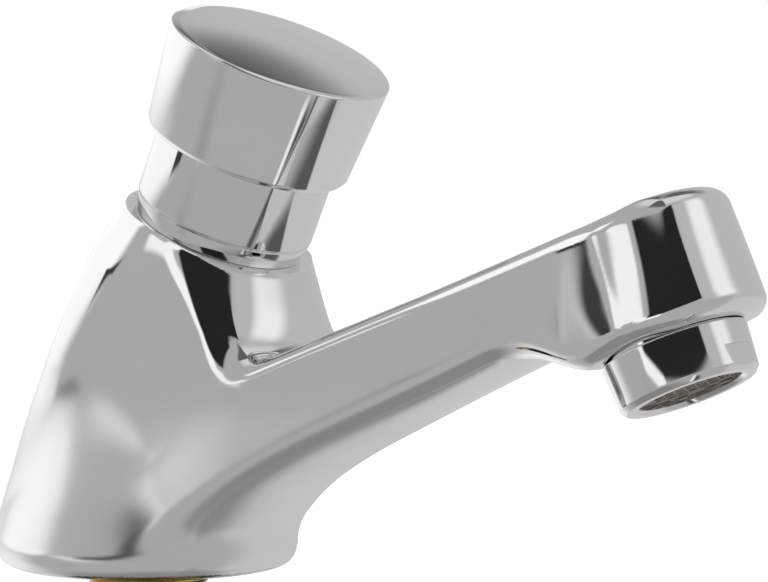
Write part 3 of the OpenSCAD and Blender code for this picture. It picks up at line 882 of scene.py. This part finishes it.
class TAP_OT_button(bpy.types.Operator):
    """Domed push button and the bonnet that it slides over"""

    bl_idname = "tap.button"
    bl_label = "Push button and bonnet"

    def execute(self, context):
        sizes = context.scene.tap_sizes
        colours = context.scene.tap_colours
        matrix = button_frame(sizes)
        cap = self.cap(sizes, matrix)
        place(cap, "plunger", "chrome_button", finish("button chrome", colours), "push_cap")
        sleeve = self.sleeve(sizes.bonnet_d / MM / 2, matrix)
        place(sleeve, "body", "chrome_bonnet", finish("bonnet chrome", colours), "bonnet")
        return {"FINISHED"}

    @staticmethod
    def cap(sizes, matrix):
        """Tapered button with a low dome, hollow over the bonnet, with a boss for the stem."""
        # heights of the rim and the lower edge over the neck seat, and the rise of the dome
        rim, low, dome = 33.3, 15.1, 2.4
        # wall at the rim, play round the bonnet and over it when pressed home, and facets of the dome
        wall, slide, boss_gap, facets = 2.4, 0.4, 0.5, 24
        r1, r0 = sizes.cap_d / MM / 2, sizes.cap_low_d / MM / 2
        inside = sizes.bonnet_d / MM / 2 + slide
        roof = rim - wall
        boss_low = BONNET_TOP + TRAVEL + boss_gap
        boss, hole, hole_top = STEM_R + 3, STEM_R - 0.5, roof + 0.4
        edge = r1 - 0.5
        dome_r = (edge * edge + dome * dome) / (2 * dome)
        crown = []
        for k in range(facets + 1):
            a = math.asin(edge / dome_r) * (1 - k / facets)
            crown.append((dome_r * math.sin(a), rim + dome - dome_r * (1 - math.cos(a)), 0.0))
        corners = [
            (hole, boss_low, 0.0),
            (boss, boss_low, 0.3),
            (boss, roof - 1, 0.0),
            (boss + 1, roof, 0.0),
            (inside - 1, roof, 0.0),
            (inside, roof - 1, 0.0),
            (inside, low, 0.15),
            (r0 - 0.5, low, 0.35),
            (r0 + 0.05, low + 0.8, 0.5),
            (r1, rim - 0.35, 0.35),
        ]
        outline = rounded(corners + crown, 5) + [(0.0, hole_top), (hole, hole_top)]
        points, faces = revolve(outline, matrix, 256)
        return smooth_edges(outward(make_mesh("button_cap", points, faces)), 28.0)

    @staticmethod
    def sleeve(r, matrix):
        """Bonnet with its thread, the groove of its seal, a bevelled foot and a roof over the chamber."""
        thread, chamber, bush = THREAD_R - FIT, 10.0, STEM_R + 2.6 + FIT
        groove, groove_low, groove_high = 11.5, -2.6, -0.8
        roof = BONNET_TOP - 4
        corners = [
            (chamber, -THREAD_H, 0.0),
            (thread, -THREAD_H, 0.3),
            (thread, groove_low, 0.0),
            (groove, groove_low, 0.0),
            (groove, groove_high, 0.0),
            (thread, groove_high, 0.0),
            (thread, 0.0, 0.0),
            (r - 0.7, 0.0, 0.25),
            (r - 0.1, 3.0, 0.15),
            (r - 0.35, 3.2, 0.1),
            (r, 3.5, 0.2),
            (r, BONNET_TOP, 0.6),
            (bush, BONNET_TOP, 0.2),
            (bush, roof, 0.0),
            (chamber, roof, 0.0),
        ]
        return turned("bonnet_sleeve", corners, matrix, 224, 5)


class TAP_OT_outlet(bpy.types.Operator):
    """Outlet ring with spanner flats, and the aerator pieces inside it"""

    bl_idname = "tap.outlet"
    bl_label = "Outlet"

    def execute(self, context):
        sizes = context.scene.tap_sizes
        colours = context.scene.tap_colours
        matrix = outlet_frame(sizes)
        ring = self.ring(sizes.ring_d / MM / 2, matrix)
        place(ring, "body", "chrome_outlet", finish("outlet chrome", colours), "aerator_housing")
        finish_node("aerator_screen", finish("screen", colours))
        finish_node("aerator_insert", finish("white plastic", colours))
        finish_node("flow_regulator", finish("blue plastic", colours))
        finish_node("aerator_washer", finish("rubber", colours))
        return {"FINISHED"}

    @staticmethod
    def ring(r, matrix):
        """Outlet ring: threaded part in the head, tapered part below it, and an inner lip for the screen."""
        # heights of its lower face, its lip's shelf, its upper face under the head and its thread's end
        low, shelf, under, thread_top = -8.2, -6.6, -0.1, 6.6
        thread, mouth, key = RING_THREAD_R - FIT, RING_BORE_R - 1, 11.0
        corners = [
            (mouth, low + 0.6, 0.0),
            (mouth + 0.6, low, 0.25),
            (r - 1.3, low, 0.4),
            (r - 0.5, low + 0.9, 0.5),
            (r, under, 0.3),
            (thread, under, 0.0),
            (thread, thread_top, 0.2),
            (RING_BORE_R, thread_top, 0.0),
            (RING_BORE_R, shelf, 0.0),
            (mouth, shelf, 0.0),
        ]
        ring = turned("outlet_ring", corners, matrix, 224)
        flats = []
        for side in (0.0, math.pi):
            box = matrix @ Matrix.Rotation(side, 4, "Z")
            xs, ys, zs = (key, 30.0), (-12.0, 12.0), (low - OVER, low / 2)
            points = [box @ Vector((x, y, z)) for x in xs for y in ys for z in zs]
            faces = [(0, 1, 3, 2), (4, 6, 7, 5), (0, 4, 5, 1), (2, 3, 7, 6), (0, 2, 6, 4), (1, 5, 7, 3)]
            flats.append(make_mesh("flat", points, faces))
        return smooth_edges(cut_away(ring, flats), 24.0)


class TAP_OT_tail(bpy.types.Operator):
    """Threaded tail with its gasket, washers, backnut and strainer"""

    bl_idname = "tap.tail"
    bl_label = "Tail and fixings"

    def execute(self, context):
        sizes = context.scene.tap_sizes
        colours = context.scene.tap_colours
        deck = Matrix.Identity(4)
        r = sizes.tail_d / MM / 2
        tail = self.threaded(r, sizes.thread_pitch / MM)
        place(tail, "body", "brass", finish("brass", colours), "inlet_tail")
        # name, slot and node, then bore gap, outer radius, low, high and the rounding of each corner
        washers = (
            ("deck_gasket", "black_rubber", "base_gasket", 0.05, 20.95, 0.0, 1.5, 0.1, 0.3, 0.1, 0.1),
            ("rubber_washer", "black_rubber", "fixing_washer", 0.12, 20.0, -22.5, -20.0, 0.2, 0.5, 0.5, 0.2),
            ("plated_washer", "zinc_steel", "slip_washer", 0.12, 19.0, -24.0, -22.5, 0.1, 0.35, 0.2, 0.1),
        )
        kinds = {"black_rubber": "rubber", "zinc_steel": "zinc"}
        for name, slot, node, gap, outer, low, high, *edges in washers:
            sides = ((r + gap, low), (outer, low), (outer, high), (r + gap, high))
            washer = turned(name, [(*side, edge) for side, edge in zip(sides, edges)], deck)
            place(washer, "body", slot, finish(kinds[slot], colours), node)
        place(self.nut(r), "body", "brass", finish("brass", colours), "backnut")
        finish_node("inlet_strainer", finish("white plastic", colours))
        return {"FINISHED"}

    @staticmethod
    def threaded(r, pitch, low=-50.0, high=GASKET_H, segments=72):
        """The tail with a cut thread below the deck, its bore and its spigot."""
        depth = 0.64 * pitch
        # chamfer at the foot, plain length under the deck, the thread's run-out, and the strainer's recess
        chamfer, plain, run_out, recess = 1.0, 1.5, 1.2, (TAIL_BORE_R + 1, low + 4)
        per_turn = 8
        rows = int((high - low - chamfer) / pitch * per_turn)
        points = []
        rings = []

        def ring(radius_at, z):
            rings.append(len(points))
            for k in range(segments):
                a = 2 * math.pi * k / segments
                q = radius_at(a, z)
                points.append((q * math.cos(a), q * math.sin(a), z))

        def share(v):
            return min(max(v, 0.0), 1.0)

        def crest(a, z):
            phase = (z / pitch - a / (2 * math.pi)) % 1.0
            # the slope and the offset leave a narrow flat on each crest and root
            cut = share(abs(2 * phase - 1) * 1.3 - 0.15)
            fade = share((-plain - z) / plain) * share((z - low) / run_out)
            return r - depth * cut * fade - chamfer * (1.0 - share((z - low) / chamfer))

        for i in range(rows + 1):
            ring(crest, low + (high - low) * i / rows)
        inner = (
            (SPIGOT_R, high),
            (SPIGOT_R, SOCKET_DEPTH),
            (TAIL_BORE_R, SOCKET_DEPTH),
            (TAIL_BORE_R, recess[1]),
            recess,
            (recess[0], low),
        )
        for q, z in inner:
            ring(lambda a, h, q=q: q, z)
        faces = []
        for i, a in enumerate(rings):
            b = rings[(i + 1) % len(rings)]
            for k in range(segments):
                n = (k + 1) % segments
                faces.append((a + k, a + n, b + n, b + k))
        return smooth_edges(outward(make_mesh("threaded_tail", points, faces)), 40.0)

    @staticmethod
    def nut(r):
        """Flanged hexagon nut with turned corners."""
        low, high, corner = -33.0, -24.0, r + 6.0
        flange_low, flange_r = high - 2.4, 18.0
        turns = [math.pi / 3 * k for k in range(6)]
        hexagon = [(corner * math.cos(a), corner * math.sin(a)) for a in turns]
        points = [(x, y, z) for z in (low, high - 1.0) for x, y in hexagon]
        faces = [tuple(range(5, -1, -1)), tuple(range(6, 12))]
        faces += [(k, (k + 1) % 6, 6 + (k + 1) % 6, 6 + k) for k in range(6)]
        nut = make_mesh("tail_nut", points, faces)
        outward(nut)
        inner = corner * math.cos(math.pi / 6)
        outer = corner + 0.1
        chamfer = [(0.0, low), (inner - 0.3, low), (outer, low + 1.9), (outer, high), (0.0, high)]
        pts, fcs = revolve(chamfer, Matrix.Identity(4), 96)
        cut_away(nut, [make_mesh("turning", pts, fcs)], "INTERSECT")
        flange = [
            (0.0, flange_low, 0.0),
            (flange_r, flange_low, 0.3),
            (flange_r, high, 0.3),
            (0.0, high, 0.0),
        ]
        pts, fcs = revolve(rounded(flange), Matrix.Identity(4), 128)
        cut_away(nut, [make_mesh("flange", pts, fcs)], "UNION")
        cut_away(nut, [drill(r + 2 * FIT, low - OVER, high + OVER, Matrix.Identity(4))])
        return smooth_edges(nut, 24.0)


class TAP_OT_valve(bpy.types.Operator):
    """Return spring and the finishes of the valve pieces inside the body"""

    bl_idname = "tap.valve"
    bl_label = "Valve"

    def execute(self, context):
        sizes = context.scene.tap_sizes
        colours = context.scene.tap_colours
        self.spring(sizes, colours)
        kinds = {
            "rubber": ("bonnet_oring", "stem_oring", "seat_oring", "piston_cup_seal", "valve_washer"),
            "ivory plastic": ("stem_bush", "piston"),
            "brass": ("valve_seat", "valve_poppet"),
            "stainless": ("stem", "piston_clip", "poppet_nut"),
        }
        for kind, names in kinds.items():
            for name in names:
                finish_node(name, finish(kind, colours))
        return {"FINISHED"}

    @staticmethod
    def spring(sizes, colours):
        """A round wire coil with closed ends, at one fixed length."""
        matrix = button_frame(sizes)
        wire, coil, around, per_turn = 0.6, 7.4, 12, 48
        low, high = SEAT_TOP + wire + FIT, SPRING_TOP - wire - FIT
        steps = per_turn * sizes.turns
        points = []
        for i in range(steps + 1):
            t = i / steps
            z = low + (high - low) * t
            a = 2 * math.pi * sizes.turns * t
            for k in range(around):
                b = 2 * math.pi * k / around
                q = coil + wire * math.cos(b)
                points.append(matrix @ Vector((q * math.cos(a), q * math.sin(a), z + wire * math.sin(b))))
        faces = [tuple(range(around)), tuple(range(steps * around + around - 1, steps * around - 1, -1))]
        for i in range(steps):
            for k in range(around):
                n = (k + 1) % around
                a, b = i * around, (i + 1) * around
                faces.append((a + k, b + k, b + n, a + n))
        coil_obj = smooth_edges(outward(make_mesh("coil_spring", points, faces)), 50.0)
        place(coil_obj, "body", "spring_steel", finish("spring", colours), "return_spring")
        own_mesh(coil_obj)


# cards that the chrome mirrors: left, right, low, high and soft edge in degrees from the camera's side,
# brightness, and for a slanted one the rise of low and high per degree
CARDS = [
    (-180.0, 180.0, 55.0, 91.0, 8.0, 0.75),
    (84.0, 181.0, -60.0, 45.0, 8.0, 0.56),
    (84.0, 181.0, -60.0, -6.0, 8.0, 0.64),
    (-180.0, 180.0, -91.0, -58.0, 8.0, 0.28),
    (-181.0, -110.0, -40.0, 0.0, 14.0, 1.0),
    (-181.0, -86.0, 2.0, 26.0, 3.0, 1.15),
    (-181.0, -150.0, 46.0, 83.0, 12.0, 0.13),
    (125.0, 181.0, 46.0, 83.0, 12.0, 0.13),
    (-40.0, 25.0, 46.0, 86.0, 4.0, 0.13),
    (-54.0, 38.0, 13.5, 34.0, 1.5, 0.02, 0.34),
    (-75.0, -59.0, 5.5, 12.0, 1.5, 1.05),
    (-66.0, -55.0, 1.0, 7.5, 1.2, 1.1),
    (-60.0, -36.0, -5.0, 2.0, 1.5, 1.1),
    (-92.0, -83.0, 1.5, 5.5, 1.0, 0.05),
    (60.0, 92.0, 15.0, 45.0, 9.0, 1.0),
    (40.0, 58.0, 16.0, 45.0, 4.0, 0.55),
    (35.0, 40.0, -85.0, -45.0, 1.5, 1.0),
    (40.0, 48.0, -85.0, -46.0, 2.0, 0.09),
    (-68.0, -58.0, -30.0, -12.0, 8.0, 0.36),
]

# the floor is lifted to white away from the tap: start and end in metres, and how much
FLOOR_GLOW = (0.2, 0.7, 0.46)

# name, degrees from the camera's side, elevation, distance, size and power
LAMPS = [
    ("soft_left", -70.0, 45.0, 1.4, 1.0, 14.0),
    ("soft_right", 60.0, 50.0, 1.4, 1.0, 10.0),
]


class TAP_OT_studio(bpy.types.Operator):
    """Floor, walls, cards, lamps and the camera at the photograph's angle"""

    bl_idname = "tap.studio"
    bl_label = "Studio"

    def execute(self, context):
        scene = context.scene
        studio = scene.tap_studio
        scene.view_settings.view_transform = "Standard"
        self.floor(scene.tap_colours)
        self.world(scene, studio)
        self.lamps(studio)
        self.camera(scene, studio)
        return {"FINISHED"}

    @staticmethod
    def floor(colours):
        """Pale floor under the tail, with the tap's shadow, white to the camera farther off."""
        half, z = 4000.0, CAD_BOX[0][2] / MM - 1.0
        points = [(-half, -half, z), (half, -half, z), (half, half, z), (-half, half, z)]
        obj = make_mesh("studio_floor", points, [(0, 1, 2, 3)])
        mat, nodes, links, shader = new_material("pale_floor")
        fine = noise_on(nodes, links, 3.0, 2.0)
        colour = tint(nodes, links, fine, scaled(colours.floor, 0.99), colours.floor)
        links.new(colour, shader.inputs["Base Color"])
        shader.inputs["Roughness"].default_value = 0.9
        path = nodes.new("ShaderNodeLightPath")
        coords = nodes.new("ShaderNodeTexCoord")
        away = nodes.new("ShaderNodeVectorMath")
        away.operation = "LENGTH"
        links.new(coords.outputs["Object"], away.inputs[0])
        glow = nodes.new("ShaderNodeMath")
        glow.operation = "MULTIPLY"
        far = spread(nodes, links, away.outputs["Value"], 0.0, FLOOR_GLOW[2], FLOOR_GLOW[0], FLOOR_GLOW[1])
        links.new(path.outputs["Is Camera Ray"], glow.inputs[0])
        links.new(far, glow.inputs[1])
        shader.inputs["Emission Color"].default_value = (1.0, 1.0, 1.0, 1.0)
        links.new(glow.outputs["Value"], shader.inputs["Emission Strength"])
        obj.data.materials.append(mat)
        obj.visible_glossy = False

    @staticmethod
    def world(scene, studio):
        """Studio walls as a dome: white to the camera, with dark and white cards for the metal."""
        world = bpy.data.worlds.new("studio")
        scene.world = world
        world.use_nodes = True
        nodes, links = world.node_tree.nodes, world.node_tree.links
        nodes.clear()
        out = nodes.new("ShaderNodeOutputWorld")
        coords = nodes.new("ShaderNodeTexCoord")
        turn = nodes.new("ShaderNodeVectorRotate")
        turn.rotation_type = "Z_AXIS"
        turn.inputs["Angle"].default_value = -studio.azimuth
        links.new(coords.outputs["Generated"], turn.inputs["Vector"])
        split = nodes.new("ShaderNodeSeparateXYZ")
        links.new(turn.outputs["Vector"], split.inputs["Vector"])

        def math_node(operation, a, b=None):
            node = nodes.new("ShaderNodeMath")
            node.operation = operation
            for i, v in enumerate((a, b)):
                if v is None:
                    continue
                if isinstance(v, (int, float)):
                    node.inputs[i].default_value = v
                else:
                    links.new(v, node.inputs[i])
            return node.outputs["Value"]

        side = math_node("ARCTAN2", split.outputs["X"], math_node("MULTIPLY", split.outputs["Y"], -1.0))
        side = math_node("DEGREES", side)
        rise = math_node("DEGREES", math_node("ARCSINE", split.outputs["Z"]))

        def ramp(value, middle, soft_edge, start, end):
            node = nodes.new("ShaderNodeMapRange")
            node.interpolation_type = "SMOOTHSTEP"
            node.inputs["From Min"].default_value = middle - soft_edge
            node.inputs["From Max"].default_value = middle + soft_edge
            node.inputs["To Min"].default_value = start
            node.inputs["To Max"].default_value = end
            links.new(value, node.inputs["Value"])
            return node.outputs["Result"]

        def band(value, low, high, soft_edge):
            up = ramp(value, low, soft_edge, 0.0, 1.0)
            return math_node("MULTIPLY", up, ramp(value, high, soft_edge, 1.0, 0.0))

        shade = math_node("ADD", 0.0, studio.room)
        for left, right, low, high, edge, level, *slant in CARDS:
            height = rise
            if slant:
                height = math_node("SUBTRACT", rise, math_node("MULTIPLY", side, slant[0]))
            inside = math_node("MULTIPLY", band(side, left, right, edge), band(height, low, high, edge))
            mix = nodes.new("ShaderNodeMix")
            mix.inputs[3].default_value = level
            links.new(inside, mix.inputs[0])
            links.new(shade, mix.inputs[2])
            shade = mix.outputs[0]
        path = nodes.new("ShaderNodeLightPath")

        def choose(ray, other, seen):
            node = nodes.new("ShaderNodeMixShader")
            for i, v in enumerate((path.outputs[ray], other, seen)):
                links.new(v, node.inputs[i])
            return node.outputs["Shader"]

        def background(grey):
            node = nodes.new("ShaderNodeBackground")
            if isinstance(grey, float):
                node.inputs["Color"].default_value = (grey, grey, grey, 1.0)
            else:
                links.new(grey, node.inputs["Color"])
            return node.outputs["Background"]

        dome = choose("Is Glossy Ray", background(0.62), background(shade))
        dome = choose("Is Camera Ray", dome, background(1.0))
        links.new(dome, out.inputs["Surface"])

    @staticmethod
    def lamps(studio):
        """Two soft lamps for the matt pieces."""
        target = Vector(studio.target)
        for name, side, rise, reach, size, power in LAMPS:
            data = bpy.data.lights.new(name, "AREA")
            data.shape = "DISK"
            data.size = size
            data.energy = power
            lamp = bpy.data.objects.new(name, data)
            way = towards(studio.azimuth + math.radians(side), math.radians(rise))
            lamp.location = target + way * reach
            lamp.rotation_euler = way.to_track_quat("Z", "Y").to_euler()
            lamp.visible_glossy = False
            bpy.context.scene.collection.objects.link(lamp)

    @staticmethod
    def camera(scene, studio):
        """The photograph's viewpoint."""
        way = towards(studio.azimuth, studio.elevation)
        data = bpy.data.cameras.new("photo_camera")
        data.sensor_width = 36.0
        data.lens = studio.lens
        data.shift_x = 0.00276
        data.shift_y = 0.00286
        data.clip_start = 0.01
        cam = bpy.data.objects.new("photo_camera", data)
        cam.location = Vector(studio.target) + way * studio.distance
        cam.rotation_euler = way.to_track_quat("Z", "Y").to_euler()
        scene.collection.objects.link(cam)
        scene.camera = cam


class TAP_PT_panel(bpy.types.Panel):
    """Buttons for the tap's pieces"""

    bl_idname = "TAP_PT_panel"
    bl_label = "Push timed tap"
    bl_space_type = "VIEW_3D"
    bl_region_type = "UI"
    bl_category = "Tap"

    def draw(self, context):
        for operator in OPERATORS:
            self.layout.operator(operator.bl_idname)


OPERATORS = (
    TAP_OT_cast_body,
    TAP_OT_button,
    TAP_OT_outlet,
    TAP_OT_tail,
    TAP_OT_valve,
    TAP_OT_studio,
)
CLASSES = (TapSizes, TapColours, TapStudio, *OPERATORS, TAP_PT_panel)


def register():
    """Registers the classes and their properties."""
    for cls in CLASSES:
        bpy.utils.register_class(cls)
    bpy.types.Scene.tap_sizes = PointerProperty(type=TapSizes)
    bpy.types.Scene.tap_colours = PointerProperty(type=TapColours)
    bpy.types.Scene.tap_studio = PointerProperty(type=TapStudio)


def unregister():
    """Removes the properties and the classes."""
    del bpy.types.Scene.tap_studio
    del bpy.types.Scene.tap_colours
    del bpy.types.Scene.tap_sizes
    for cls in reversed(CLASSES):
        bpy.utils.unregister_class(cls)


def main():
    """Builds every piece and the studio."""
    register()
    bpy.ops.tap.cast_body()
    bpy.ops.tap.button()
    bpy.ops.tap.outlet()
    bpy.ops.tap.tail()
    bpy.ops.tap.valve()
    bpy.ops.tap.studio()


if __name__ == "__main__":
    main()
